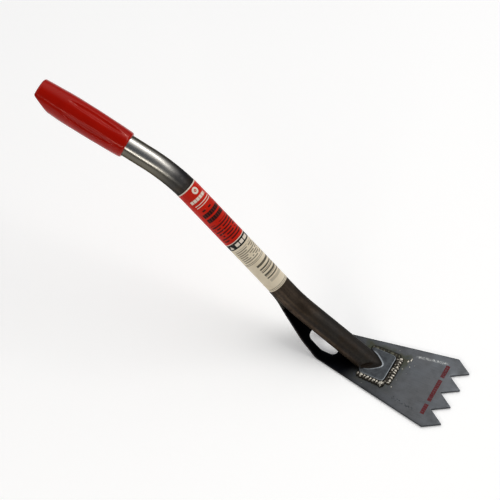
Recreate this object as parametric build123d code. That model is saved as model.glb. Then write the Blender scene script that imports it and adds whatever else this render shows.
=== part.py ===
"""Short-handled roofing shovel (shingle remover), in millimetres.

Frame: the origin is on the blade's underside, on the symmetry plane, below the middle of the
handle's flattened foot. +X points forwards to the teeth, +Z is up, and the handle rises
towards -X. The XZ plane is the symmetry plane.
"""
from build123d import *
from math import cos, radians, sin, tan
import os

# Blade: a flat plate that flares from its heel to the teeth.
BLADE_THICKNESS = 3.0
BLADE_WIDTH = 101.6
BLADE_FLARE = 11.3
TOOTH_COUNT = 4
TOOTH_DEPTH = 18.5
TOOTH_ROOT_X = 79.0
HEEL_X = -62.0

# Tongue: the narrow rear of the same plate, bent up at the heel until it meets the tube.
# Distances up the tongue start where the heel bend ends.
TONGUE_RISE = 44.0
TONGUE_BEND_RADIUS = 13.0
TONGUE_SHOULDER = 14.0
TONGUE_SHOULDER_WIDTH = 38.4
TONGUE_NECK = 68.0
TONGUE_NECK_WIDTH = 12.6
TONGUE_LENGTH = 82.0
TONGUE_END_WIDTH = 12.0
HOLE_WIDTH = 20.0
HOLE_CORNER = 6.0
HOLE_FRONT_X = -48.5
HOLE_UP_TONGUE = 19.5

# Handle tube: three straight runs joined by two bends. Rises are angles above level.
TUBE_DIAMETER = 25.4
TUBE_WALL = 2.0
TUBE_BEND_RADIUS = 140.0
FOOT_RUN = 94.0
FOOT_RISE = 30.4
MAIN_RUN = 163.0
MAIN_RISE = 42.9
GRIP_RUN = 135.0
GRIP_RISE = 17.0
TUBE_AXIS_X = -10.5
TUBE_BORE_START = 24.0
NOSE_X = 5.0
NOSE_ALLOWANCE = 30.0

# Foot: the flattened end of the tube, welded on the blade.
FOOT_LENGTH = 32.0
FOOT_WIDTH = 39.0
FOOT_THICKNESS = 3.8
FOOT_CORNER = 5.0

# Grip: a closed sleeve that slips over the tube's upper end. Its swell is at a share of its length.
GRIP_START = 27.0
GRIP_LENGTH = 116.5
GRIP_MOUTH_RADIUS = 15.6
GRIP_SWELL_RADIUS = 17.2
GRIP_SWELL_AT = 0.48
GRIP_END_RADIUS = 15.4
GRIP_END_WALL = 7.5
GRIP_END_ROUND = 2.5

# Label: a thin wrap on the main run that ends a little way into the upper bend.
LABEL_THICKNESS = 0.25
LABEL_START = 16.0
LABEL_LENGTH = 158.0

# Welds.
WELD_WIDTH = 5.0
WELD_HEIGHT = 3.0
WELD_SLOPE = 40.0
CORNER_WELD_BACK = 3.0
TONGUE_WELD_WIDTH = 1.6
TONGUE_WELD_LENGTH = 22.0
TONGUE_WELD_INSET = 1.2

# Side of the blocks that trim the welds and the tube's lower end. Larger than either.
TRIM_SIZE = 120.0

FOOT_BEND_ANGLE = MAIN_RISE - FOOT_RISE
UPPER_BEND_ANGLE = MAIN_RISE - GRIP_RISE
FOOT_BEND_LENGTH = TUBE_BEND_RADIUS * radians(FOOT_BEND_ANGLE)
UPPER_BEND_LENGTH = TUBE_BEND_RADIUS * radians(UPPER_BEND_ANGLE)
MAIN_START = FOOT_RUN + FOOT_BEND_LENGTH
GRIP_RUN_START = MAIN_START + MAIN_RUN + UPPER_BEND_LENGTH
TUBE_RADIUS = TUBE_DIAMETER / 2
FOOT_TOP = BLADE_THICKNESS + FOOT_THICKNESS
HEEL_HALF_WIDTH = BLADE_WIDTH / 2 - (TOOTH_ROOT_X - HEEL_X) * tan(radians(BLADE_FLARE))


def up_slope(rise):
    """Unit direction in the XZ plane that climbs rearwards at the given rise."""
    return Vector(-cos(radians(rise)), 0, sin(radians(rise)))


def handle_centreline():
    """The tube's whole centreline, from the foot to the tube's upper end."""
    foot_point = (TUBE_AXIS_X, BLADE_THICKNESS)
    foot_run = PolarLine(foot_point, FOOT_RUN, 180 - FOOT_RISE)
    foot_bend = JernArc(foot_run @ 1, foot_run % 1, TUBE_BEND_RADIUS, -FOOT_BEND_ANGLE)
    main_run = PolarLine(foot_bend @ 1, MAIN_RUN, 180 - MAIN_RISE)
    upper_bend = JernArc(main_run @ 1, main_run % 1, TUBE_BEND_RADIUS, UPPER_BEND_ANGLE)
    grip_run = PolarLine(upper_bend @ 1, GRIP_RUN, 180 - GRIP_RISE)
    flat_line = Wire([*foot_run.edges(), *foot_bend.edges(), *main_run.edges(),
                      *upper_bend.edges(), *grip_run.edges()])
    return Plane.XZ * flat_line


def rod_along(line, start, end, radius):
    """A round rod along a stretch of the centreline, between two distances from the foot."""
    stretch = line.trim(start / line.length, end / line.length)
    section = Plane(stretch @ 0, x_dir=(0, 1, 0), z_dir=stretch % 0) * Circle(radius)
    return sweep(section, path=stretch)


def foot_outline(margin=0.0):
    """Plan outline of the flattened foot, grown by a margin."""
    length = FOOT_LENGTH + 2 * margin
    width = FOOT_WIDTH + 2 * margin
    return RectangleRounded(length, width, FOOT_CORNER + margin)


def foot_pad():
    return Pos(0, 0, BLADE_THICKNESS) * extrude(foot_outline(), FOOT_THICKNESS)


def trim_block(align_x=Align.CENTER, align_y=Align.CENTER, align_z=Align.CENTER):
    """A large block for cutting, placed by its centre or by one of its faces."""
    return Box(TRIM_SIZE, TRIM_SIZE, TRIM_SIZE, align=(align_x, align_y, align_z))


def round_tube_outside(line):
    """The round tube's outer volume, cut level at the blade's top and upright at its nose."""
    rod = rod_along(line, 0, line.length, TUBE_RADIUS)
    foot_section = Plane(line @ 0, x_dir=(0, 1, 0), z_dir=line % 0) * Circle(TUBE_RADIUS)
    nose = extrude(foot_section, -NOSE_ALLOWANCE)
    below_blade_top = Pos(0, 0, BLADE_THICKNESS) * trim_block(align_z=Align.MAX)
    past_nose = Pos(NOSE_X, 0, 0) * trim_block(align_x=Align.MIN)
    return rod + nose - below_blade_top - past_nose


def make_handle_tube(line, tube_outside):
    """Bent round tube whose lower end is flattened into a pad on the blade."""
    bore = rod_along(line, TUBE_BORE_START, line.length, TUBE_RADIUS - TUBE_WALL)
    return tube_outside + foot_pad() - bore


def plate_side_profile():
    """Side view of the blade plate: flat sole, heel bend and rising tongue."""
    bend = radians(TONGUE_RISE)
    inner_radius = TONGUE_BEND_RADIUS - BLADE_THICKNESS
    front_x = TOOTH_ROOT_X + TOOTH_DEPTH
    centre = Vector(HEEL_X, TONGUE_BEND_RADIUS)
    along = Vector(-cos(bend), sin(bend))
    outwards = Vector(-sin(bend), -cos(bend))
    outer_bend_end = centre + outwards * TONGUE_BEND_RADIUS
    inner_bend_end = centre + outwards * inner_radius
    sole = Line((front_x, 0), (HEEL_X, 0))
    outer_bend = JernArc((HEEL_X, 0), (-1, 0), TONGUE_BEND_RADIUS, -TONGUE_RISE)
    back = Line(outer_bend_end, outer_bend_end + along * TONGUE_LENGTH)
    outer_end = outer_bend_end + along * TONGUE_LENGTH
    inner_end = inner_bend_end + along * TONGUE_LENGTH
    end = Line(outer_end, inner_end)
    front = Line(inner_end, inner_bend_end)
    inner_bend = JernArc((HEEL_X, BLADE_THICKNESS), (-1, 0), inner_radius, -TONGUE_RISE)
    top = Line((HEEL_X, BLADE_THICKNESS), (front_x, BLADE_THICKNESS))
    nose = Line((front_x, BLADE_THICKNESS), (front_x, 0))
    return make_face([sole, outer_bend, back, end, front, inner_bend, top, nose])


def tongue_plane():
    """Plane on the tongue's front face where the heel bend ends. Its X axis climbs the tongue."""
    bend = radians(TONGUE_RISE)
    inner_radius = TONGUE_BEND_RADIUS - BLADE_THICKNESS
    origin_x = HEEL_X - inner_radius * sin(bend)
    origin_z = TONGUE_BEND_RADIUS - inner_radius * cos(bend)
    front_normal = (sin(bend), 0, cos(bend))
    return Plane((origin_x, 0, origin_z), x_dir=up_slope(TONGUE_RISE), z_dir=front_normal)


def tongue_widths():
    """Distances up the tongue and its width at each."""
    return [
        (TONGUE_SHOULDER, TONGUE_SHOULDER_WIDTH),
        (TONGUE_NECK, TONGUE_NECK_WIDTH),
        (TONGUE_LENGTH, TONGUE_END_WIDTH),
    ]


def plate_plan_outline():
    """Plan view of the blade plate: teeth, flare and the taper of the tongue."""
    half_width = BLADE_WIDTH / 2
    pitch = BLADE_WIDTH / TOOTH_COUNT
    teeth = [(TOOTH_ROOT_X, half_width)]
    for tooth in range(TOOTH_COUNT):
        root_y = half_width - tooth * pitch
        teeth.append((TOOTH_ROOT_X + TOOTH_DEPTH, root_y - pitch / 2))
        teeth.append((TOOTH_ROOT_X, root_y - pitch))
    left_edge = [(HEEL_X, HEEL_HALF_WIDTH)]
    for distance, width in tongue_widths():
        edge_point = tongue_plane().from_local_coords(Vector(distance, 0, -BLADE_THICKNESS))
        left_edge.append((edge_point.X, width / 2))
    right_edge = [(x, -y) for x, y in left_edge]
    return make_face(Polyline(*teeth, *right_edge, *reversed(left_edge), close=True))


def heel_hole():
    """Long hole with rounded corners that starts in the flat blade and runs up the tongue."""
    depth = 2 * BLADE_THICKNESS
    flat_length = HOLE_FRONT_X - HEEL_X + 2 * HOLE_CORNER
    flat_slot = RectangleRounded(flat_length, HOLE_WIDTH, HOLE_CORNER)
    lower = extrude(Pos(HOLE_FRONT_X - flat_length / 2, 0, 0) * flat_slot, depth, both=True)
    slope_length = HOLE_UP_TONGUE + 2 * HOLE_CORNER
    slope_slot = RectangleRounded(slope_length, HOLE_WIDTH, HOLE_CORNER)
    placement = tongue_plane() * Pos(HOLE_UP_TONGUE - slope_length / 2, 0, 0)
    upper = extrude(placement * slope_slot, depth, both=True)
    return lower + upper


def make_blade(tube_outside):
    """Toothed plate with its bent tongue, cut where the tongue meets the tube."""
    sheet = extrude(Plane.XZ * plate_side_profile(), BLADE_WIDTH, both=True)
    outline = extrude(plate_plan_outline(), 2 * BLADE_WIDTH, both=True)
    return (sheet & outline) - heel_hole() - tube_outside


def make_grip(line):
    """Swelling sleeve with a closed round-edged end."""
    mouth_edge = (GRIP_MOUTH_RADIUS, 0)
    swell = (GRIP_SWELL_RADIUS, GRIP_SWELL_AT * GRIP_LENGTH)
    end_edge = (GRIP_END_RADIUS, GRIP_LENGTH)
    side = Spline(mouth_edge, swell, end_edge)
    rest = Polyline(end_edge, (0, GRIP_LENGTH), (0, 0), mouth_edge)
    body = revolve(Plane.XZ * make_face([side, *rest.edges()]), Axis.Z)
    body = fillet(body.edges().sort_by(Axis.Z)[-1], GRIP_END_ROUND)
    bore = extrude(Circle(TUBE_RADIUS), GRIP_LENGTH - GRIP_END_WALL)
    mouth = line.position_at((GRIP_RUN_START + GRIP_START) / line.length)
    placement = Plane(mouth, x_dir=(0, 1, 0), z_dir=up_slope(GRIP_RISE))
    return placement * (body - bore)


def make_label(line):
    """Thin printed wrap round the main run."""
    start = MAIN_START + LABEL_START
    end = start + LABEL_LENGTH
    outside = rod_along(line, start, end, TUBE_RADIUS + LABEL_THICKNESS)
    return outside - rod_along(line, start, end, TUBE_RADIUS)


def foot_weld_ring():
    """Sloped bead round the foot's front and sides, open at the rear."""
    ring = extrude(foot_outline(WELD_WIDTH), WELD_HEIGHT, taper=WELD_SLOPE)
    ring = Pos(0, 0, BLADE_THICKNESS) * ring - foot_pad()
    behind_foot = Pos(-FOOT_LENGTH / 2, 0, 0) * trim_block(align_x=Align.MAX)
    return ring - behind_foot


def make_foot_welds():
    """The bead on each side of the foot and the bead across its front."""
    ring = foot_weld_ring()
    split = Pos(FOOT_LENGTH / 2 - CORNER_WELD_BACK, 0, 0)
    left_side = split * trim_block(align_x=Align.MAX, align_y=Align.MIN)
    right_side = split * trim_block(align_x=Align.MAX, align_y=Align.MAX)
    return {
        "foot_weld_left": ring & left_side,
        "foot_weld_right": ring & right_side,
        "foot_weld_front": ring - left_side - right_side,
    }


def make_tongue_weld(tube_outside, blade):
    """Bead round the tongue's end, between the tongue's edges and the tube's underside."""
    length = TONGUE_WELD_LENGTH + TONGUE_WELD_WIDTH
    width = TONGUE_NECK_WIDTH + 2 * TONGUE_WELD_WIDTH
    middle = TONGUE_LENGTH + TONGUE_WELD_WIDTH - length / 2
    outline = Pos(middle, 0, TONGUE_WELD_INSET - BLADE_THICKNESS) * Rectangle(length, width)
    block = extrude(tongue_plane() * outline, TUBE_RADIUS)
    return block - tube_outside - blade


def main():
    line = handle_centreline()
    tube_outside = round_tube_outside(line)
    blade = make_blade(tube_outside)
    nodes = {
        "handle_tube": make_handle_tube(line, tube_outside),
        "blade": blade,
        "grip": make_grip(line),
        "label_wrap": make_label(line),
        "tongue_weld": make_tongue_weld(tube_outside, blade),
        **make_foot_welds(),
    }
    os.makedirs("parts", exist_ok=True)
    for name, solid in nodes.items():
        export_step(solid, f"parts/{name}.step")


main()
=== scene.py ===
"""Looks of a short-handled roofing shovel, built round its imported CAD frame.

Dimensions are in millimetres and become metres when a mesh is made. The frame is the CAD frame:
the origin is on the blade's underside below the middle of the foot, +X points to the teeth,
+Z is up, and the handle rises towards -X.
"""
from math import ceil, cos, degrees, hypot, pi, radians, sin, sqrt, tan

import bmesh
import bpy
import numpy as np
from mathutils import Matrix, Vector, noise


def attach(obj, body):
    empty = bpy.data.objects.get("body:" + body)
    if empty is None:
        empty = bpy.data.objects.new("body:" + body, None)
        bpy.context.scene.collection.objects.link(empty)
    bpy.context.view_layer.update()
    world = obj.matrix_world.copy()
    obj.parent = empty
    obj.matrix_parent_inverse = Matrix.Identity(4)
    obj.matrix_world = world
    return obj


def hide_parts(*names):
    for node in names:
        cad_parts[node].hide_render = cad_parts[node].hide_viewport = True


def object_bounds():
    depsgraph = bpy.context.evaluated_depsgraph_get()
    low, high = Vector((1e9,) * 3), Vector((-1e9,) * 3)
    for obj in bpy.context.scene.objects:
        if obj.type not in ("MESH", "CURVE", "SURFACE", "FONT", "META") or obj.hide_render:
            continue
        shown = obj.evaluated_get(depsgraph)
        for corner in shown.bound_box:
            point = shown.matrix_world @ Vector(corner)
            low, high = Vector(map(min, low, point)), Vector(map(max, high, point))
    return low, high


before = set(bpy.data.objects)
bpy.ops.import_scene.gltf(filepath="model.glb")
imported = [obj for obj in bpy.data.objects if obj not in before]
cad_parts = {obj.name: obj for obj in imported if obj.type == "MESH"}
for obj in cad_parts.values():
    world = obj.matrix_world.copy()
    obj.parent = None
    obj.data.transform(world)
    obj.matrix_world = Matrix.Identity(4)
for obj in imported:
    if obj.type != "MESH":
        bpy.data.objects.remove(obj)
CAD_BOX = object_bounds()
MM = 0.001

# Camera: the direction it looks from, its distance, and how far its aim is off the box's centre.
CAMERA_AZIMUTH = 27.5
CAMERA_ELEVATION = 52.88
CAMERA_DISTANCE = 2.784
CAMERA_AIM_RIGHT = 0.0031
CAMERA_AIM_UP = -0.0089
CAMERA_LENS = 180.0
SENSOR_WIDTH = 36.0

# Handle tube: runs and bends of its centreline.
TUBE_RADIUS = 12.7
BEND_RADIUS = 140.0
FOOT_RISE, MAIN_RISE, GRIP_RISE = 30.4, 42.9, 17.0
FOOT_RUN, MAIN_RUN, GRIP_RUN = 94.0, 163.0, 135.0
FOOT_BEND = BEND_RADIUS * radians(MAIN_RISE - FOOT_RISE)
UPPER_BEND = BEND_RADIUS * radians(MAIN_RISE - GRIP_RISE)
MAIN_START = FOOT_RUN + FOOT_BEND
GRIP_RUN_START = MAIN_START + MAIN_RUN + UPPER_BEND
AXIS_X = -10.5

# Foot: the tube's flattened end and the nose where the round tube meets it.
PLATE = 3.0
PAD_HALF_LENGTH = 16.0
PAD_HALF_WIDTH = 19.5
PAD_CORNER = 5.0
PAD_THICKNESS = 3.8
PAD_TOP = PLATE + PAD_THICKNESS
PAD_MIDDLE = PLATE + PAD_THICKNESS / 2
PAD_EDGE_ROUND = 1.1
PAD_FILLET = 1.8
REAR_FILLET_EXTRA = 2.8
NOSE_X = 5.0
NOSE_BLUNTNESS = 5.0
NOSE_SPREAD = 1.42
NOSE_WALL_SLOPE = 2.3
NOSE_EDGE_ROUND = 2.0
FOLD_EDGE_ROUND = 0.35
# Fold pressed in below each side's crease: x, distance from the middle, z and radius.
FOLD = ((-16.5, 17.0, 9.2, 1.6), (-13.2, 14.5, 10.0, 2.5), (-9.6, 12.1, 11.5, 2.7),
        (-6.2, 9.2, 12.4, 2.4), (-2.8, 6.6, 12.6, 1.4))

# Blade plate: flat part, heel bend and tongue. Half widths go up the tongue from the bend.
TOOTH_ROOT_X = 79.0
TOOTH_DEPTH = 18.5
TOOTH_COUNT = 4
HALF_WIDTH = 50.8
HEEL_X = -62.0
HEEL_HALF_WIDTH = 22.6
TONGUE_RISE = 44.0
HEEL_RADIUS = 13.0
TONGUE_STATIONS = (0.0, 10.0, 23.0, 36.0, 50.0, 63.0, 75.0, 82.0, 90.0)
TONGUE_HALF_WIDTHS = (22.6, 20.6, 19.2, 16.4, 13.2, 10.2, 7.1, 6.3, 6.0)
HOLE_HALF_WIDTH = 10.0
HOLE_CORNER = 6.0
HOLE_FRONT_X = -48.5
HOLE_UP_TONGUE = 19.5
EDGE_BEVEL = 0.4
EDGE_WANDER = 0.1
WANDER_SPACING = 11.0
WANDER_SEED = 5

# Grip: distances from its mouth.
GRIP_START = GRIP_RUN_START + 27.0
GRIP_LENGTH = 116.5
GRIP_STATIONS = (0.0, 5.0, 12.0, 25.0, 38.0, 55.0, 78.0, 91.0, 100.0, 116.5)
GRIP_RADII = (15.5, 15.7, 16.1, 16.6, 17.0, 17.2, 16.9, 16.3, 15.9, 15.1)
FLUTE_COUNT = 6
FLUTE_DEPTH = 1.5
FLUTE_MIDDLE = 45.0
FLUTE_HALF_LENGTH = 35.0
FLUTE_HALF_WIDTH = 4.1
BEVEL_START = 96.5
BEVEL_SLOPE = 23.0
BEVEL_HEIGHT = 15.9
BEVEL_EDGE_ROUND = 1.4
BEVEL_DIRECTION = 212.0
GRIP_ROUNDING = 3.4
GRIP_END_DROP = 2.2
GRIP_ROUNDING_START = GRIP_LENGTH - GRIP_ROUNDING

# Label: its place along the tube, the tops of its cream and black fields, and its layers.
LABEL_START = MAIN_START + 16.0
LABEL_LENGTH = 158.0
CREAM_TOP = 67.7
BLACK_TOP = 75.8
LABEL_RAISE = 0.2
LABEL_SINK = -0.25
LAP_RAISE = 0.16
PRINT_DIRECTION = 124.7
SEAM_DIRECTION = -70.0
LABEL_OVERLAP = 14.0

# Mesh densities: vertices round each swept piece, and the spacing along a weld bead.
TUBE_AROUND = 216
GRIP_AROUND = 144
BEAD_AROUND = 28
BEAD_STEP = 0.28
BEAD_LOWEST = 1.2
LABEL_COLUMNS, LABEL_ROWS = 105, 64
SECTION_RAYS = 240
SECTION_REACH = 30.0
SECTION_HALVINGS = 30


def smoothstep(low, high, value):
    t = np.clip((value - low) / (high - low), 0.0, 1.0)
    return t * t * (3 - 2 * t)


def soft_min(a, b, width):
    """The smaller of two fields, with the corner between them rounded over a width."""
    h = np.clip(0.5 + 0.5 * (b - a) / width, 0.0, 1.0)
    return b + (a - b) * h - width * h * (1 - h)


def soft_max(a, b, width):
    return -soft_min(-a, -b, width)


def smooth_curve(x, stations, values):
    """Monotone cubic through the stations, so that widths and radii change without kinks."""
    xs, ys = np.array(stations), np.array(values)
    step = np.diff(xs)
    slope = np.diff(ys) / step
    tangent = np.concatenate(([slope[0]], (slope[:-1] + slope[1:]) / 2, [slope[-1]]))
    flat = np.concatenate(([False], slope[:-1] * slope[1:] <= 0, [False]))
    tangent[flat] = 0.0
    i = np.clip(np.searchsorted(xs, x) - 1, 0, len(step) - 1)
    t = np.clip((x - xs[i]) / step[i], 0.0, 1.0)
    h = step[i]
    return ((1 + 2 * t) * (1 - t) ** 2 * ys[i] + t * (1 - t) ** 2 * h * tangent[i]
            + t * t * (3 - 2 * t) * ys[i + 1] + t * t * (t - 1) * h * tangent[i + 1])


def tube_point(s):
    """Point (x, z) on the handle's centreline and the rise there, by distance from the foot."""
    x, z, rise = AXIS_X, PLATE, FOOT_RISE
    runs = ((FOOT_RUN, 0.0), (FOOT_BEND, 1.0), (MAIN_RUN, 0.0), (UPPER_BEND, -1.0),
            (GRIP_RUN, 0.0))
    for number, (length, turn) in enumerate(runs):
        last = number == len(runs) - 1
        part = s if last or s < length else length
        if turn == 0.0:
            x -= part * cos(radians(rise))
            z += part * sin(radians(rise))
        else:
            new_rise = rise + turn * degrees(part / BEND_RADIUS)
            x -= turn * BEND_RADIUS * (sin(radians(new_rise)) - sin(radians(rise)))
            z -= turn * BEND_RADIUS * (cos(radians(new_rise)) - cos(radians(rise)))
            rise = new_rise
        if part < length or last:
            break
        s -= length
    return x, z, rise


def off_axis(x, z, rise, across, up):
    """A point beside a centreline that rises at an angle; up is square to the line and to Y."""
    return x + up * sin(radians(rise)), across, z + up * cos(radians(rise))


def make_object(name, verts, faces, material, replaces=()):
    """A smooth mesh object from points in millimetres, with its normals facing outwards."""
    mesh = bpy.data.meshes.new(name)
    mesh.from_pydata([Vector(v) * MM for v in verts], [], faces)
    mesh.validate()
    piece = place(name, mesh, material, replaces)
    bm = bmesh.new()
    bm.from_mesh(mesh)
    bmesh.ops.recalc_face_normals(bm, faces=bm.faces)
    finish_mesh(bm, mesh)
    return piece


def finish_mesh(bm, mesh):
    for face in bm.faces:
        face.smooth = True
    bm.to_mesh(mesh)
    bm.free()


def add_object(name, data):
    made = bpy.data.objects.new(name, data)
    bpy.context.scene.collection.objects.link(made)
    return made


def place(name, mesh, material, replaces=()):
    """An object that rides on the tool's one body and stands for CAD nodes."""
    mesh.materials.append(material)
    piece = add_object(name, mesh)
    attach(piece, "root")
    if replaces:
        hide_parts(*replaces)
    return piece


def store(piece, name, values):
    """A number on each vertex, for a material to read."""
    layer = piece.data.attributes.new(name, "FLOAT", "POINT")
    layer.data.foreach_set("value", np.asarray(values, dtype=np.float32).ravel())


def store_vector(piece, name, values):
    """A vector in millimetres on each vertex, for a material to read in metres."""
    layer = piece.data.attributes.new(name, "FLOAT_VECTOR", "POINT")
    layer.data.foreach_set("vector", np.asarray(np.array(values) * MM, dtype=np.float32).ravel())


def loft_faces(rings, around):
    """Faces of a tube of equal rings, closed at both ends."""
    faces = []
    for ring in range(rings - 1):
        for k in range(around):
            n = (k + 1) % around
            faces.append((ring * around + k, ring * around + n,
                          (ring + 1) * around + n, (ring + 1) * around + k))
    faces.append(tuple(reversed(range(around))))
    faces.append(tuple((rings - 1) * around + k for k in range(around)))
    return faces


# ---- shader helpers

REPEAT_ORIGIN = 0.1    # further than any point is from the middle, so that repeats count up


class Shader:
    """A node tree of a material or world, with nodes made and linked in one call."""

    def __init__(self, owner, end="BSDF_PRINCIPLED"):
        owner.use_nodes = True
        self.material = owner
        self.tree = owner.node_tree
        self.end = next(n for n in self.tree.nodes if n.type == end)

    def node(self, kind, **settings):
        made = self.tree.nodes.new(kind)
        for key, value in settings.items():
            setattr(made, key, value)
        return made

    def feed(self, socket, value):
        if isinstance(value, bpy.types.NodeSocket):
            self.tree.links.new(value, socket)
        elif isinstance(value, tuple) and len(value) == 3 and socket.type == "RGBA":
            socket.default_value = (*value, 1.0)
        else:
            socket.default_value = value

    def set(self, name, value):
        self.feed(self.end.inputs[name], value)

    def math(self, operation, *values):
        made = self.node("ShaderNodeMath", operation=operation)
        for socket, value in zip(made.inputs, values):
            self.feed(socket, value)
        return made.outputs[0]

    def plus(self, a, b):
        return self.math("ADD", a, b)

    def minus(self, a, b):
        return self.math("SUBTRACT", a, b)

    def times(self, *factors):
        total = factors[0]
        for factor in factors[1:]:
            total = self.math("MULTIPLY", total, factor)
        return total

    def either(self, *masks):
        total = masks[0]
        for mask in masks[1:]:
            total = self.math("MAXIMUM", total, mask)
        return total

    def apart(self, a, b):
        """The size of the difference of two values."""
        return self.math("ABSOLUTE", self.minus(a, b))

    def repeat(self, value, pitch, part):
        """FLOOR: the number of the repeat that a value is in; FRACT: how far it is into it."""
        return self.math(part, self.math("DIVIDE", self.plus(value, REPEAT_ORIGIN), pitch))

    def mix(self, factor, a, b, mode="MIX"):
        made = self.node("ShaderNodeMix", data_type="RGBA", blend_type=mode)
        self.feed(made.inputs[0], factor)
        self.feed(made.inputs[6], a)
        self.feed(made.inputs[7], b)
        return made.outputs[2]

    def blend(self, factor, a, b):
        made = self.node("ShaderNodeMix", data_type="FLOAT")
        self.feed(made.inputs[0], factor)
        self.feed(made.inputs[2], a)
        self.feed(made.inputs[3], b)
        return made.outputs[0]

    def range(self, value, low, high, to_low=0.0, to_high=1.0, smooth=True):
        kind = "SMOOTHSTEP" if smooth else "LINEAR"
        made = self.node("ShaderNodeMapRange", interpolation_type=kind)
        for socket, number in zip(made.inputs, (value, low, high, to_low, to_high)):
            self.feed(socket, number)
        return made.outputs[0]

    def attribute(self, name, output="Fac"):
        return self.node("ShaderNodeAttribute", attribute_name=name).outputs[output]

    def position(self):
        return self.node("ShaderNodeTexCoord").outputs["Object"]

    def axes(self, vector):
        made = self.node("ShaderNodeSeparateXYZ")
        self.feed(made.inputs[0], vector)
        return made.outputs[0], made.outputs[1], made.outputs[2]

    def join(self, *values):
        made = self.node("ShaderNodeCombineXYZ")
        for socket, value in zip(made.inputs, values):
            self.feed(socket, value)
        return made.outputs[0]

    def scaled(self, vector, scale):
        made = self.node("ShaderNodeMapping")
        self.feed(made.inputs["Vector"], vector)
        made.inputs["Scale"].default_value = scale
        return made.outputs[0]

    def noise(self, vector, scale, detail=3.0, roughness=0.55):
        made = self.node("ShaderNodeTexNoise")
        self.feed(made.inputs["Vector"], vector)
        made.inputs["Scale"].default_value = scale
        made.inputs["Detail"].default_value = detail
        made.inputs["Roughness"].default_value = roughness
        return made.outputs["Fac"]

    def cells(self, vector, scale):
        made = self.node("ShaderNodeTexVoronoi")
        self.feed(made.inputs["Vector"], vector)
        made.inputs["Scale"].default_value = scale
        return made.outputs["Distance"]

    def ramp(self, value, *stops):
        made = self.node("ShaderNodeValToRGB")
        self.feed(made.inputs[0], value)
        ramp = made.color_ramp
        while len(ramp.elements) < len(stops):
            ramp.elements.new(0.5)
        for element, (place_at, colour) in zip(ramp.elements, stops):
            element.position = place_at
            element.color = (*colour, 1.0)
        return made.outputs[0]

    def bump(self, height, distance, strength=1.0, below=None):
        made = self.node("ShaderNodeBump")
        made.inputs["Distance"].default_value = distance
        made.inputs["Strength"].default_value = strength
        self.feed(made.inputs["Height"], height)
        if below is not None:
            self.feed(made.inputs["Normal"], below)
        return made.outputs[0]

    def inside(self, value, low, high, soft=0.0001):
        """1 where the value is between two limits, with a soft edge."""
        rise = self.range(value, low - soft, low + soft)
        fall = self.range(value, high - soft, high + soft, 1.0, 0.0)
        return self.times(rise, fall)


# ---- handle tube

def foot_fields(x, y, z):
    """Fields of the nose and of the pad: negative inside, in millimetres near the surface."""
    across = (x - AXIS_X) * sin(radians(FOOT_RISE)) + (z - PLATE) * cos(radians(FOOT_RISE))
    tube = np.hypot(y, across) - TUBE_RADIUS
    spread = np.hypot(NOSE_BLUNTNESS, NOSE_SPREAD * y)
    steepness = np.hypot(1.0, NOSE_SPREAD ** 2 * y / spread)
    behind_nose = (NOSE_X + NOSE_BLUNTNESS - x - spread) / steepness
    wall = (z - PAD_TOP - NOSE_WALL_SLOPE * behind_nose) / hypot(1.0, NOSE_WALL_SLOPE)
    nose = soft_max(tube, wall, NOSE_EDGE_ROUND)
    past_x = np.abs(x) - (PAD_HALF_LENGTH - PAD_CORNER)
    past_y = np.abs(y) - (PAD_HALF_WIDTH - PAD_CORNER)
    plan = (np.hypot(np.maximum(past_x, 0), np.maximum(past_y, 0))
            + np.minimum(np.maximum(past_x, past_y), 0) - PAD_CORNER + PAD_EDGE_ROUND)
    level = np.abs(z - PAD_MIDDLE) - PAD_THICKNESS / 2 + PAD_EDGE_ROUND
    pad = (np.hypot(np.maximum(plan, 0), np.maximum(level, 0))
           + np.minimum(np.maximum(plan, level), 0) - PAD_EDGE_ROUND)
    return nose, pad


def outside_fold(x, y, z):
    """Distance from a point to the roller that pressed the fold in, on either side."""
    point = np.stack(np.broadcast_arrays(x, np.abs(y), z), axis=-1)
    nearest = np.full(point.shape[:-1], 99.0)
    for start, end in zip(FOLD, FOLD[1:]):
        a, b = np.array(start[:3]), np.array(end[:3])
        share = np.clip((point - a) @ (b - a) / ((b - a) @ (b - a)), 0.0, 1.0)
        gap = np.linalg.norm(point - a - share[..., None] * (b - a), axis=-1)
        nearest = np.minimum(nearest, gap - (start[3] + share * (end[3] - start[3])))
    return nearest


def foot_solid(x, y, z):
    """The nose blended into the pad, with a wider fillet towards the rear corners."""
    nose, pad = foot_fields(x, y, z)
    fillet = PAD_FILLET + REAR_FILLET_EXTRA * smoothstep(7.0, 15.0, -x)
    folded = soft_max(soft_min(nose, pad, fillet), -outside_fold(x, y, z), FOLD_EDGE_ROUND)
    return np.maximum(folded, PLATE - z)


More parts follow.
